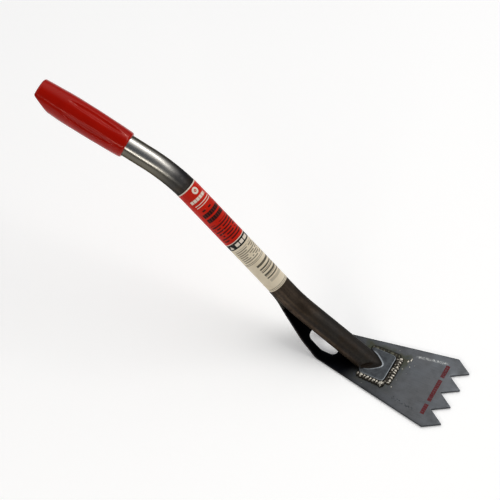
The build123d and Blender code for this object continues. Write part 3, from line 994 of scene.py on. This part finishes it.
def cream_field(m, a, v, cream):
    """Fine rows, a double rule, a block of bars and a closing double rule."""
    rows = dashes(m, a, v, (-0.0125, 0.0175, 0.0455, 0.0650), 0.0026, 0.0013, 0.0023, 0.16)
    rules = m.either(*(m.inside(v, low, high) for low, high in (
        (0.0434, 0.0442), (0.0417, 0.0424), (0.0028, 0.0035), (0.0012, 0.0018))))
    stripe = m.node("ShaderNodeTexWhiteNoise", noise_dimensions="1D")
    m.feed(stripe.inputs["W"], m.math("FLOOR", m.math("DIVIDE", v, 0.00062)))
    bars = m.times(m.math("GREATER_THAN", stripe.outputs["Value"], 0.36),
                   bar(m, a, v, (-0.0043, 0.0190, 0.0200, 0.0325)))
    blocks = m.either(bars, bar(m, a, v, (-0.0043, 0.0190, 0.0345, 0.0372)),
                      bar(m, a, v, (-0.0043, 0.0190, 0.0168, 0.0184)))
    faint = bar(m, a, v, (-0.0035, 0.0185, 0.0115, 0.0150))
    colour = m.mix(m.times(m.either(rows, rules), 0.75), cream, GREY)
    colour = m.mix(m.times(blocks, 0.90), colour, (0.040, 0.036, 0.028))
    return m.mix(m.times(faint, 0.35), colour, GREY)


def black_band(m, a, v):
    """A pale triangle and three pale blocks on black."""
    peak = m.minus(0.0740, m.times(m.apart(a, -0.0115), 1.7))
    triangle = m.times(m.range(m.minus(peak, v), 0.0, 0.0002), m.range(v, 0.0692, 0.0694))
    blocks = [bar(m, a, v, (left, right, 0.0695, 0.0736)) for left, right in (
        (-0.0050, 0.0), (0.0012, 0.0062), (0.0074, 0.0145))]
    return m.mix(m.either(triangle, *blocks), (0.010, 0.010, 0.009), PALE)


def red_field(m, a, v, red):
    """A pale ring, blocks and lines at the top, two heavy dark rows, then fine rows."""
    ring_x, ring_y = m.minus(a, 0.0052), m.minus(v, 0.1510)
    from_ring = m.math("SQRT", m.plus(m.times(ring_x, ring_x), m.times(ring_y, ring_y)))
    ring = m.either(m.inside(from_ring, 0.0016, 0.0039),
                    m.range(from_ring, 0.0005, 0.0007, 1.0, 0.0))
    blocks = dashes(m, a, v, (-0.0095, 0.0125, 0.1385, 0.1445), 0.0060, 0.0040, 0.0041, 0.0)
    blocks = m.times(blocks, m.range(m.repeat(a, 0.0041, "FRACT"), 0.10, 0.16))
    lines = m.either(bar(m, a, v, (-0.0080, 0.0145, 0.1358, 0.1367)),
                     bar(m, a, v, (-0.0080, 0.0150, 0.1330, 0.1338)))
    field = m.mix(m.either(ring, blocks, lines), red, PALE)
    small = dashes(m, a, v, (-0.0075, 0.0070, 0.1250, 0.1290), 0.0040, 0.0020, 0.0021, 0.3)
    heavy = dashes(m, a, v, (-0.0095, 0.0150, 0.1085, 0.1235), 0.0075, 0.0056, 0.0031, 0.04)
    heavy = m.times(heavy, m.range(m.repeat(a, 0.0031, "FRACT"), 0.06, 0.14, 0.45, 1.0))
    fine_rows = dashes(m, a, v, (-0.0125, 0.0175, 0.0795, 0.1065), 0.0036, 0.0018, 0.0027, 0.18)
    field = m.mix(m.times(m.either(small, heavy), 0.97), field, BLACK)
    field = m.mix(m.times(fine_rows, 0.90), field, (0.028, 0.003, 0.002))
    rules = m.either(m.inside(v, 0.1567, 0.1590, 0.00008),
                     m.inside(v, BLACK_TOP * MM, 0.0767, 0.00008))
    return m.mix(rules, field, PALE)


def label_material():
    """Printed film in red, black and cream. The print is bars, rules and plain shapes only."""
    m = Shader(bpy.data.materials.new("label_film"))
    printed = m.attribute("printed", "Vector")
    a, v, _ = m.axes(printed)
    fibre = m.noise(printed, 600.0, 4.0)
    cloud = m.noise(printed, 45.0, 4.0)
    # Real wear: paler patches of cream and red.
    wear_and_painted_light = m.range(cloud, 0.35, 0.7)
    in_black = m.inside(v, CREAM_TOP * MM, BLACK_TOP * MM, 0.00008)
    colour = m.mix(in_black, cream_field(m, a, v, m.mix(wear_and_painted_light, CREAM, CREAM_WORN)),
                   black_band(m, a, v))
    in_red = m.range(v, BLACK_TOP * MM - 0.00005, BLACK_TOP * MM + 0.00005)
    colour = m.mix(in_red, colour, red_field(m, a, v, m.mix(wear_and_painted_light, RED, RED_WORN)))
    # Real wear: print rubbed off in patches to the pale film.
    wear_and_highlight = m.times(m.range(m.noise(printed, 330.0, 5.0, 0.7), 0.62, 0.72), 0.35)
    m.set("Base Color", m.mix(wear_and_highlight, colour, (0.55, 0.48, 0.40)))
    m.set("Roughness", m.range(cloud, 0.3, 0.7, 0.38, 0.52))
    m.set("Specular IOR Level", 0.14)
    m.set("Normal", m.bump(fibre, 0.00003, 0.3, m.bump(cloud, 0.0003, 0.25)))
    return m.material


def weld_material(name, crest_colour, dark_colour):
    """Weld metal: painted highlights on the rounded crests, painted shade in the valleys, and
    small pits.
    """
    m = Shader(bpy.data.materials.new(name))
    position = m.position()
    crest = m.attribute("crest")
    fine = m.noise(position, 1500.0, 4.0, 0.6)
    cloud = m.noise(position, 260.0, 3.0)
    level = m.plus(crest, m.range(cloud, 0.3, 0.7, -0.10, 0.08))
    # Painted highlight on high crest values and painted shade on low ones.
    shine = m.range(level, 0.42, 0.88)
    colour = m.mix(shine, dark_colour, crest_colour)
    colour = m.mix(m.range(fine, 0.62, 0.8, 0.0, 0.3), colour, (0.10, 0.08, 0.055))
    m.set("Base Color", colour)
    m.set("Metallic", m.range(level, 0.3, 0.8, 0.55, 1.0))
    m.set("Roughness", m.range(level, 0.4, 0.95, 0.58, 0.34))
    m.set("Specular Tint", (0.6, 0.58, 0.55))
    m.set("Normal", m.bump(fine, 0.00003, 0.4, m.bump(cloud, 0.00008, 0.4)))
    return m.material


# ---- stage

WALL_RADIANCE, CEILING_RADIANCE = 0.16, 1.24
WALL_TOP, CEILING_START = 0.20, 0.78
PATCH_EDGE, PATCH_MIDDLE = 0.60, 0.93
PATCH_COLOUR = (0.055, 0.063, 0.076)
FLOOR_HALF_SIZE = 5.0
FLOOR_GAP = 0.0004
# Softboxes: azimuth, elevation, distance, width, height, radiance and colour.
SOFTBOXES = {
    "back_softbox": (134, 60, 1.7, 1.5, 0.56, 1.7, (1.0, 0.98, 0.95)),
    "back_strip": (134, 60, 1.6, 1.4, 0.09, 9.0, (1.0, 0.98, 0.95)),
    "front_strip": (7, 25, 1.9, 1.3, 0.23, 6.4, (1.0, 0.96, 0.88)),
}


def direction(azimuth, elevation):
    """Unit vector towards a camera or light at that azimuth and elevation."""
    a, e = radians(azimuth), radians(elevation)
    return Vector((sin(a) * cos(e), -cos(a) * cos(e), sin(e)))


def look(item, target):
    item.rotation_mode = "QUATERNION"
    item.rotation_quaternion = (target - item.location).to_track_quat("-Z", "Y")


def add_camera():
    low, high = CAD_BOX
    back = direction(CAMERA_AZIMUTH, CAMERA_ELEVATION)
    right = Vector((cos(radians(CAMERA_AZIMUTH)), sin(radians(CAMERA_AZIMUTH)), 0))
    up = back.cross(right)
    aim = (low + high) / 2 + right * CAMERA_AIM_RIGHT + up * CAMERA_AIM_UP
    data = bpy.data.cameras.new("camera")
    data.lens, data.sensor_width = CAMERA_LENS, SENSOR_WIDTH
    data.clip_end = 50
    camera = add_object("camera", data)
    camera.location = aim + back * CAMERA_DISTANCE
    look(camera, aim)
    bpy.context.scene.camera = camera


def add_softbox(name, azimuth, elevation, distance, width, height, radiance, colour):
    """A rectangular softbox of even brightness that faces the middle of the tool."""
    target = (CAD_BOX[0] + CAD_BOX[1]) / 2
    data = bpy.data.lights.new(name, "AREA")
    data.shape = "RECTANGLE"
    data.size, data.size_y = width, height
    data.energy = radiance * pi * width * height
    data.color = colour
    light = add_object(name, data)
    light.location = target + direction(azimuth, elevation) * distance
    look(light, target)


def add_world():
    """Studio with a bright ceiling, dim walls and a darker patch round the camera."""
    world = bpy.data.worlds.new("studio")
    bpy.context.scene.world = world
    m = Shader(world, "BACKGROUND")
    outwards = m.node("ShaderNodeTexCoord").outputs["Generated"]
    towards = m.node("ShaderNodeVectorMath", operation="DOT_PRODUCT")
    m.feed(towards.inputs[0], outwards)
    m.feed(towards.inputs[1], direction(CAMERA_AZIMUTH - 8, CAMERA_ELEVATION + 4))
    m.set("Color", m.ramp(towards.outputs["Value"], (PATCH_EDGE, (1, 1, 1)),
                          (PATCH_MIDDLE, PATCH_COLOUR)))
    m.set("Strength", m.range(m.axes(outwards)[2], WALL_TOP, CEILING_START, WALL_RADIANCE,
                              CEILING_RADIANCE))


def add_floor():
    bm = bmesh.new()
    bmesh.ops.create_grid(bm, x_segments=8, y_segments=8, size=FLOOR_HALF_SIZE)
    mesh = bpy.data.meshes.new("floor")
    bm.to_mesh(mesh)
    bm.free()
    floor = add_object("floor", mesh)
    floor.location.z = -FLOOR_GAP
    m = Shader(bpy.data.materials.new("floor_paper"))
    m.set("Base Color", (0.96, 0.96, 0.96))
    m.set("Emission Color", (1.0, 1.0, 1.0))
    m.set("Emission Strength", 0.14)
    m.set("Roughness", 0.9)
    m.set("Specular IOR Level", 0.1)
    mesh.materials.append(m.material)


def main():
    build_tube(tube_material())
    build_blade(blade_material())
    build_grip(grip_material())
    build_label(label_material())
    bright = weld_material("weld_bright", (0.47, 0.44, 0.38), (0.034, 0.029, 0.023))
    dark = weld_material("weld_dark", (0.080, 0.078, 0.058), (0.022, 0.020, 0.015))
    build_foot_welds(bright, dark)
    build_tongue_weld(dark)
    build_spatter(bright)
    add_camera()
    add_floor()
    add_world()
    for name, values in SOFTBOXES.items():
        add_softbox(name, *values)
    view = bpy.context.scene.view_settings
    view.view_transform, view.look = "Standard", "None"


main()
